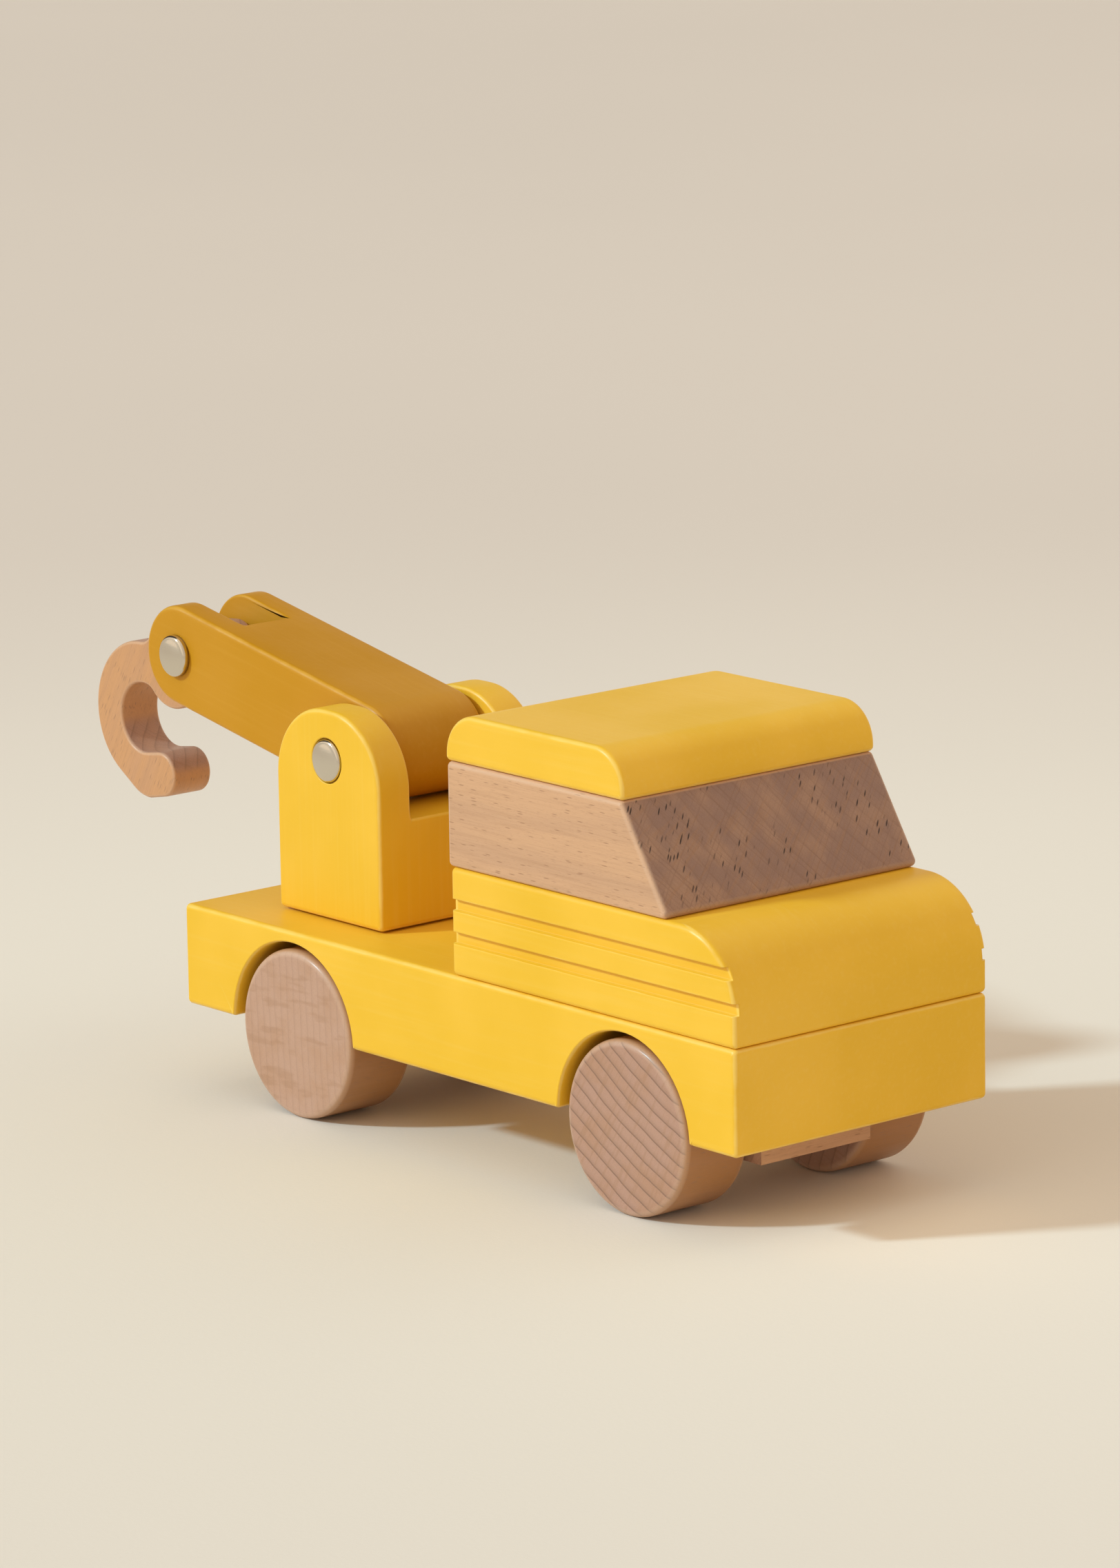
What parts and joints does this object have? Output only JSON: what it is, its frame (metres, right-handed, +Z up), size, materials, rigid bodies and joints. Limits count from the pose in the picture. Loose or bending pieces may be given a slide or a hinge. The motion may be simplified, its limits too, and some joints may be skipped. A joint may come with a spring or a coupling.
{
  "type": "toy tower crane truck",
  "caption": "Wooden toy crane truck: block chassis and cab on disc wheels, with a swivelling fork tower, a luffing boom and a swinging hook.",
  "frame": {"origin": "on the ground, midway along the overall length, on the truck's centre plane", "axes": "+X towards the front of the cab, +Y to the truck's left, +Z up"},
  "size_m": [0.2552, 0.0714, 0.1027],
  "materials": {
    "yellow_paint": "satin paint on wood",
    "mustard_paint": "satin paint on wood",
    "beech": "sanded, lightly oiled",
    "steel": "polished"
  },
  "bodies": {
    "truck": {"chassis": "yellow_paint", "hood_block": "yellow_paint", "window_block": "beech", "roof_block": "yellow_paint", "hood_dowels": "beech", "window_dowels": "beech", "roof_dowels": "beech", "front_axle_block": "beech", "rear_axle_block": "beech"},
    "front_wheels": {"front_axle": "steel", "wheel_front_left": "beech", "wheel_front_right": "beech"},
    "rear_wheels": {"rear_axle": "steel", "wheel_rear_left": "beech", "wheel_rear_right": "beech"},
    "tower": {"tower": "yellow_paint", "swivel_pin": "steel", "swivel_cap": "steel", "boom_pin": "steel", "boom_pin_cap_left": "steel", "boom_pin_cap_right": "steel"},
    "boom": {"boom": "mustard_paint", "hook_pin": "steel", "hook_pin_cap_left": "steel", "hook_pin_cap_right": "steel"},
    "hook": {"hook": "beech"}
  },
  "joints": [
    {"name": "front_axle_roll", "type": "hinge", "parent": "truck", "child": "front_wheels", "pos_m": [0.0921, 0, 0.019], "axis": [0, 1, 0], "continuous": true},
    {"name": "rear_axle_roll", "type": "hinge", "parent": "truck", "child": "rear_wheels", "pos_m": [-0.0184, 0, 0.019], "axis": [0, 1, 0], "continuous": true},
    {"name": "tower_swivel", "type": "hinge", "parent": "truck", "child": "tower", "pos_m": [-0.0197, 0, 0.0425], "axis": [0, 0, 1], "range_deg": [-90, 90]},
    {"name": "boom_luff", "type": "hinge", "parent": "tower", "child": "boom", "pos_m": [-0.0197, 0, 0.0787], "axis": [0, 1, 0], "range_deg": [-10.8, 80]},
    {"name": "hook_swing", "type": "hinge", "parent": "boom", "child": "hook", "pos_m": [-0.0863, 0, 0.0914], "axis": [0, 1, 0], "range_deg": [-58, 90]}
  ]
}
